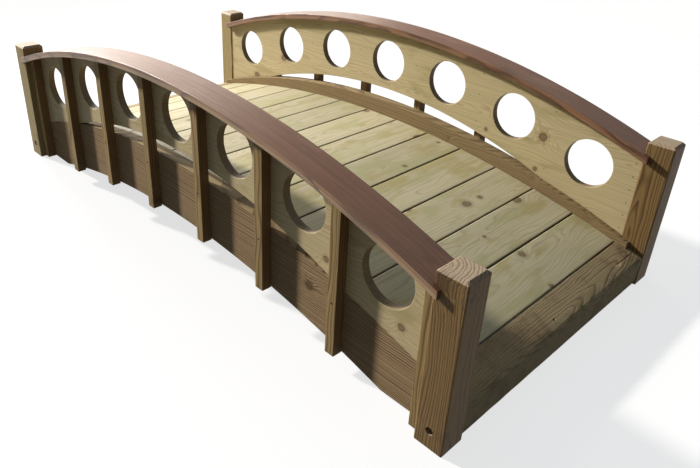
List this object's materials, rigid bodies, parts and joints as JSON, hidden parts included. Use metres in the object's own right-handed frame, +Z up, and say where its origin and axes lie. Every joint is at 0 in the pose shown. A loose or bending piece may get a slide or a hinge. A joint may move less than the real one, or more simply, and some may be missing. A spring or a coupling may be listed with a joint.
{
  "type": "moon bridge",
  "caption": "Small arched wooden garden bridge with plank deck, curved handrails and side panels pierced by round moon holes, on square chamfered corner posts.",
  "frame": {"origin": "on the ground, midway between the four corner posts", "axes": "+X along the walkway, +Y across it, +Z up"},
  "size_m": [2.622, 1.336, 0.73],
  "materials": {
    "post_wood": "planed pine, treated",
    "side_post_wood": "planed pine, treated",
    "rail_wood": "planed laminated pine, stained",
    "panel_wood": "sawn pine, treated",
    "beam_wood": "rough-sawn pine, treated",
    "deck_wood": "planed pine boards, treated",
    "end_wood": "weathered pine",
    "fixings": "dull oxidised steel"
  },
  "bodies": {
    "root": {"corner_post_front_left": "post_wood", "corner_post_front_right": "post_wood", "handrail_front": "rail_wood", "moon_panel_front": "panel_wood", "stringer_front": "beam_wood", "deck_bearer_front": "beam_wood", "side_post_front_1": "side_post_wood", "side_post_front_2": "side_post_wood", "side_post_front_3": "side_post_wood", "side_post_front_4": "side_post_wood", "side_post_front_5": "side_post_wood", "side_post_front_6": "side_post_wood", "side_post_front_7": "side_post_wood", "side_post_front_8": "side_post_wood", "corner_post_back_left": "post_wood", "corner_post_back_right": "post_wood", "handrail_back": "rail_wood", "moon_panel_back": "panel_wood", "stringer_back": "beam_wood", "deck_bearer_back": "beam_wood", "side_post_back_1": "side_post_wood", "side_post_back_2": "side_post_wood", "side_post_back_3": "side_post_wood", "side_post_back_4": "side_post_wood", "side_post_back_5": "side_post_wood", "side_post_back_6": "side_post_wood", "side_post_back_7": "side_post_wood", "side_post_back_8": "side_post_wood", "deck_board_01": "deck_wood", "deck_board_02": "deck_wood", "deck_board_03": "deck_wood", "deck_board_04": "deck_wood", "deck_board_05": "deck_wood", "deck_board_06": "deck_wood", "deck_board_07": "deck_wood", "deck_board_08": "deck_wood", "deck_board_09": "deck_wood", "deck_board_10": "deck_wood", "deck_board_11": "deck_wood", "deck_board_12": "deck_wood", "deck_board_13": "deck_wood", "end_beam_left": "end_wood", "end_beam_right": "end_wood"}
  },
  "joints": []
}
